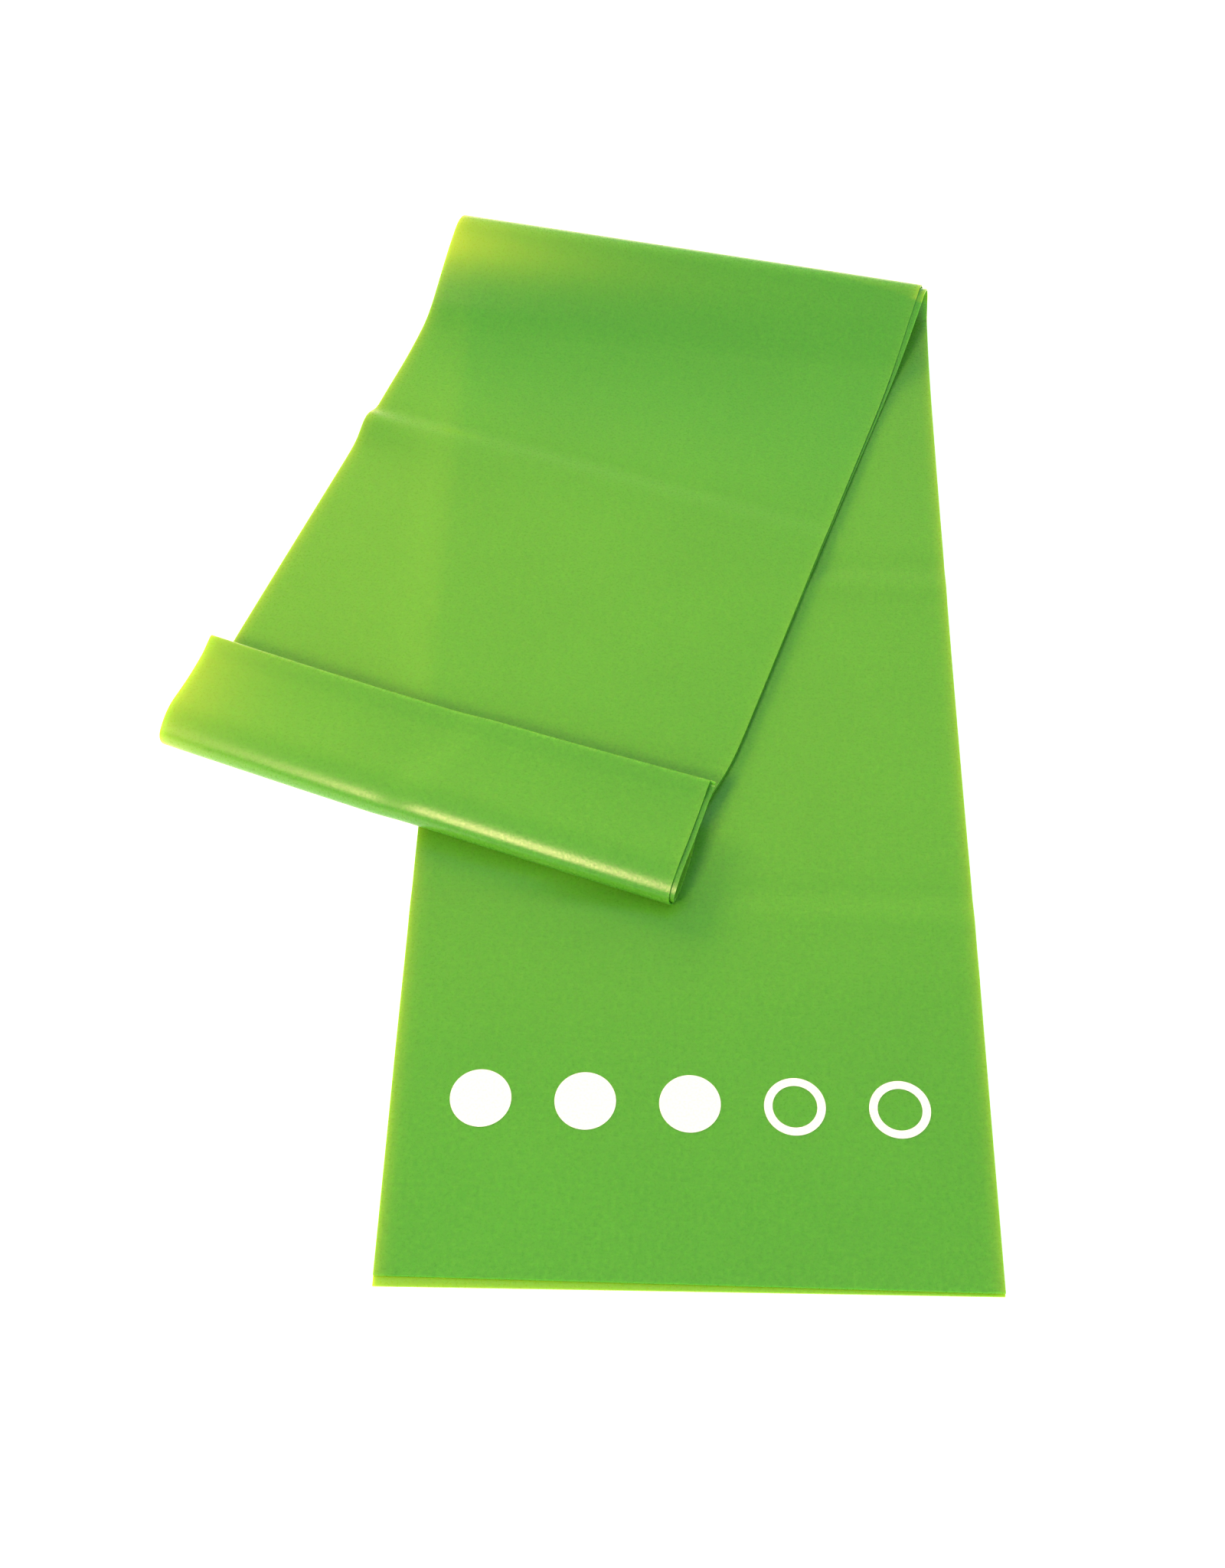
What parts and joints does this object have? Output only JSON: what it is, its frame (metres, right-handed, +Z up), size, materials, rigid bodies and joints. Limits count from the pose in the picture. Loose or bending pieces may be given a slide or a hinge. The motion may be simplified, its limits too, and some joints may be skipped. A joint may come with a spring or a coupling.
{
  "type": "resistance band",
  "caption": "Flat latex exercise band, doubled over, folded back on itself at a slant, with its closed end turned up as a flap and a printed level scale near the free ends.",
  "frame": {"origin": "middle of the folded band's footprint, on the surface that it rests on", "axes": "+Y along the lower run, away from the two free ends; +X to the right of the lower run as seen from its free ends; +Z up"},
  "size_m": [0.2232, 0.3572, 0.0201],
  "materials": {
    "latex": "satin",
    "ink": "satin"
  },
  "bodies": {
    "lower_run": {"lower_run_back_ply": "latex", "lower_run_top_ply": "latex", "top_fold_outer_bend": "latex", "top_fold_inner_bend": "latex"},
    "printed_end": {"printed_end_ply": "latex", "level_mark_1": "ink", "level_mark_2": "ink", "level_mark_3": "ink", "level_mark_4": "ink", "level_mark_5": "ink"},
    "upper_run": {"upper_run_top_ply": "latex", "upper_run_under_ply": "latex", "flap_outer_bend": "latex", "flap_inner_bend": "latex"},
    "end_flap": {"flap_top_ply": "latex", "flap_under_ply": "latex", "middle_bend": "latex"}
  },
  "joints": [
    {"name": "printed_end_lift", "type": "hinge", "parent": "lower_run", "child": "printed_end", "pos_m": [0.03659, -0.11658, 0.0014], "axis": [-1, 0, 0], "range_deg": [0, 80]},
    {"name": "top_fold_open", "type": "hinge", "parent": "lower_run", "child": "upper_run", "pos_m": [0.03593, 0.16948, 0.00165], "axis": [-0.9865, 0.1638, 0], "range_deg": [0, 175], "deforming": ["top_fold_outer_bend", "top_fold_inner_bend"]},
    {"name": "end_flap_open", "type": "hinge", "parent": "upper_run", "child": "end_flap", "pos_m": [-0.04103, -0.05392, 0.0068], "axis": [0.9464, -0.3231, 0], "range_deg": [0, 170], "deforming": ["flap_outer_bend", "flap_inner_bend"]}
  ]
}
